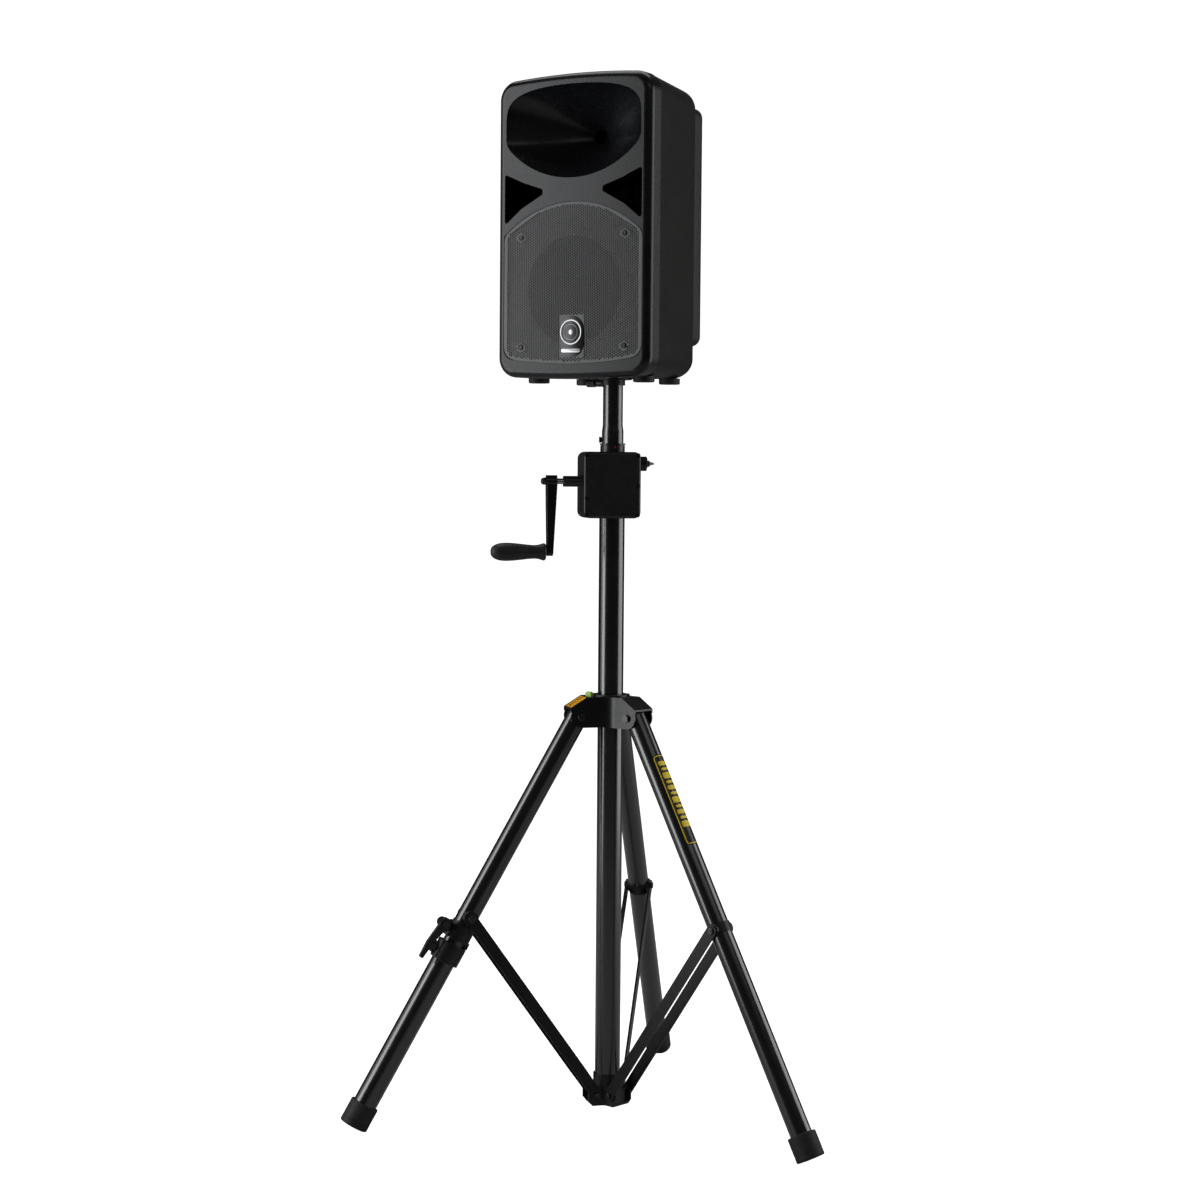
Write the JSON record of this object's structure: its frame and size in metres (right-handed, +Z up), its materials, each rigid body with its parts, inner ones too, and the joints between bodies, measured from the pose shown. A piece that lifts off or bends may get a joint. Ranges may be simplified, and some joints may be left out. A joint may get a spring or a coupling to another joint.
{
  "type": "loudspeaker on crank stand",
  "caption": "Small two-way public-address loudspeaker with horn, bass ports and mesh grille, on a black tripod stand with a crank-up telescopic mast.",
  "frame": {"origin": "on the floor, at the middle of the whole object's footprint box; the mast axis stands at x = -0.07136 m, y = -0.04534 m", "axes": "+Z up along the mast; the loudspeaker faces -Y; +X is to the right of someone who faces its front"},
  "size_m": [0.8002, 0.8244, 1.818],
  "materials": {
    "tube_black": "satin black powder coat on steel tube",
    "bracket_black": "semi-gloss black paint on pressed steel",
    "bar_black": "black painted flat steel bar",
    "plated_dark": "black-zinc plated fastener",
    "bright_steel": "ground steel",
    "moulded_black": "fine-grained black nylon",
    "foot_rubber": "matt black rubber",
    "grip_plastic": "black moulded grip",
    "level_body": "lime spirit level with clear vial",
    "gearbox_black": "fine textured black paint",
    "cabinet_plastic": "leather-grained black polypropylene",
    "baffle_plastic": "smooth satin black polypropylene",
    "grille_steel": "perforated steel, black powder coat",
    "screw_black": "black screw",
    "driver_metal": "ferrite and plated steel",
    "basket_metal": "pressed steel basket",
    "cone_paper": "coated paper cone with rubber surround",
    "board": "circuit board with parts",
    "jack_plastic": "black jack socket",
    "gear_steel": "machined steel gear",
    "brass_bush": "black acetal bush"
  },
  "bodies": {
    "mast": {"mast_tube": "tube_black", "lower_hub": "moulded_black", "hub_pins": "plated_dark", "gearbox_housing": "gearbox_black", "gearbox_cover": "gearbox_black", "gearbox_screws": "screw_black", "guide_bush": "brass_bush"},
    "collar": {"collar_bracket": "bracket_black", "collar_bush": "brass_bush", "leg_pivot_bolts": "plated_dark", "spirit_level": "level_body"},
    "collar_knob": {"collar_lock_knob": "moulded_black"},
    "leg_right": {"leg_right_tube": "tube_black", "leg_right_foot": "foot_rubber", "leg_right_saddle": "moulded_black"},
    "leg_back": {"leg_back_tube": "tube_black", "leg_back_foot": "foot_rubber", "leg_back_saddle": "moulded_black"},
    "leg_left": {"leg_left_tube": "tube_black", "leg_left_saddle": "moulded_black"},
    "levelling_leg": {"levelling_sleeve": "tube_black", "leg_left_foot": "foot_rubber", "clamp_grip_ring": "moulded_black", "clamp_sleeve_ring": "moulded_black", "clamp_bolts": "plated_dark"},
    "clamp_handle": {"clamp_lever": "moulded_black"},
    "brace_right": {"brace_right_bars": "bar_black", "brace_right_rivets": "plated_dark"},
    "brace_back": {"brace_back_bars": "bar_black", "brace_back_rivets": "plated_dark"},
    "brace_left": {"brace_left_bars": "bar_black", "brace_left_rivets": "plated_dark"},
    "pole": {"pole_tube": "tube_black", "pole_adapter": "tube_black", "adapter_bolt": "plated_dark", "pole_stop_ring": "bracket_black", "gear_rack": "gear_steel"},
    "crank": {"crank_shaft": "gear_steel", "crank_arm": "bracket_black", "crank_nut": "plated_dark"},
    "crank_handle": {"crank_grip": "grip_plastic"},
    "pinion": {"pinion_shaft": "gear_steel", "gear_wheel": "gear_steel"},
    "lock_pin": {"lock_plunger": "bright_steel", "lock_knob": "moulded_black"},
    "speaker": {"front_baffle": "baffle_plastic", "cabinet_shell": "cabinet_plastic", "rear_panel": "cabinet_plastic", "grille": "grille_steel", "grille_screws": "screw_black", "horn_driver": "driver_metal", "woofer_frame": "basket_metal", "woofer_magnet": "driver_metal", "crossover_board": "board", "input_jacks": "jack_plastic", "pole_socket": "moulded_black", "cabinet_feet": "foot_rubber"},
    "cone": {"woofer_cone": "cone_paper"},
    "socket_thumbscrew": {"socket_screw": "moulded_black"}
  },
  "joints": [
    {"name": "collar_slide", "type": "slide", "parent": "mast", "child": "collar", "axis": [0, 0, 1], "range_m": [0, 0.124]},
    {"name": "collar_knob_turn", "type": "hinge", "parent": "collar", "child": "collar_knob", "pos_m": [-0.11543, -0.03625, 0.722], "axis": [-0.9794, 0.2019, 0], "range_deg": [0, 1080]},
    {"name": "leg_right_fold", "type": "hinge", "parent": "collar", "child": "leg_right", "pos_m": [-0.0121, -0.05751, 0.712], "axis": [0.2011, 0.9796, 0], "range_deg": [0, 28.7]},
    {"name": "leg_back_fold", "type": "hinge", "parent": "collar", "child": "leg_back", "pos_m": [-0.09046, 0.01207, 0.712], "axis": [-0.9489, -0.3156, 0], "range_deg": [0, 28.7]},
    {"name": "leg_left_fold", "type": "hinge", "parent": "collar", "child": "leg_left", "pos_m": [-0.11153, -0.09058, 0.712], "axis": [0.7478, -0.6639, 0], "range_deg": [0, 28.7]},
    {"name": "brace_right_fold", "type": "hinge", "parent": "mast", "child": "brace_right", "pos_m": [-0.04638, -0.05047, 0.038], "axis": [0.2011, 0.9796, 0], "range_deg": [-29.5, 0]},
    {"name": "brace_back_fold", "type": "hinge", "parent": "mast", "child": "brace_back", "pos_m": [-0.07941, -0.02114, 0.038], "axis": [-0.9489, -0.3156, 0], "range_deg": [-29.5, 0]},
    {"name": "brace_left_fold", "type": "hinge", "parent": "mast", "child": "brace_left", "pos_m": [-0.08829, -0.06441, 0.038], "axis": [0.7478, -0.6639, 0], "range_deg": [-29.5, 0]},
    {"name": "leg_extension", "type": "slide", "parent": "leg_left", "child": "levelling_leg", "axis": [-0.3283, -0.3698, -0.8691], "range_m": [0, 0.15]},
    {"name": "clamp_lever_turn", "type": "hinge", "parent": "levelling_leg", "child": "clamp_handle", "pos_m": [-0.26075, -0.28125, 0.35707], "axis": [0.7478, -0.6639, 0], "range_deg": [-120, 0]},
    {"name": "pole_slide", "type": "slide", "parent": "mast", "child": "pole", "axis": [0, 0, 1], "range_m": [0, 0.75]},
    {"name": "crank_turn", "type": "hinge", "parent": "mast", "child": "crank", "pos_m": [-0.12049, -0.12571, 1.125], "axis": [0.7501, 0.6613, 0], "continuous": true},
    {"name": "grip_spin", "type": "hinge", "parent": "crank", "child": "crank_handle", "pos_m": [-0.18049, -0.17862, 1.002], "axis": [0.7501, 0.6613, 0], "continuous": true},
    {"name": "pinion_turn", "type": "hinge", "parent": "mast", "child": "pinion", "pos_m": [-0.05298, -0.06619, 1.10085], "axis": [0.7501, 0.6613, 0], "continuous": true},
    {"name": "lock_pull", "type": "slide", "parent": "mast", "child": "lock_pin", "axis": [0.7501, 0.6613, 0], "range_m": [0, 0.007], "stiffness_N_per_m": 400, "springref_m": -0.004},
    {"name": "speaker_turn", "type": "hinge", "parent": "pole", "child": "speaker", "pos_m": [-0.07136, -0.04534, 1.34], "axis": [0, 0, 1], "continuous": true},
    {"name": "socket_screw_turn", "type": "hinge", "parent": "speaker", "child": "socket_thumbscrew", "pos_m": [-0.11536, -0.04534, 1.298], "axis": [-1, 0, 0], "range_deg": [0, 1080]},
    {"name": "cone_travel", "type": "slide", "parent": "speaker", "child": "cone", "axis": [0, -1, 0], "range_m": [-0.004, 0.004], "stiffness_N_per_m": 2500}
  ],
  "couplings": [
    {"joint": "leg_right_fold", "follows": "collar_slide", "rad_per_m": 4.0311},
    {"joint": "brace_right_fold", "follows": "collar_slide", "rad_per_m": -4.1326},
    {"joint": "leg_back_fold", "follows": "collar_slide", "rad_per_m": 4.0311},
    {"joint": "brace_back_fold", "follows": "collar_slide", "rad_per_m": -4.1326},
    {"joint": "leg_left_fold", "follows": "collar_slide", "rad_per_m": 4.0311},
    {"joint": "brace_left_fold", "follows": "collar_slide", "rad_per_m": -4.1326},
    {"joint": "crank_turn", "follows": "pole_slide", "rad_per_m": -158.73},
    {"joint": "pinion_turn", "follows": "pole_slide", "rad_per_m": 95.238}
  ]
}
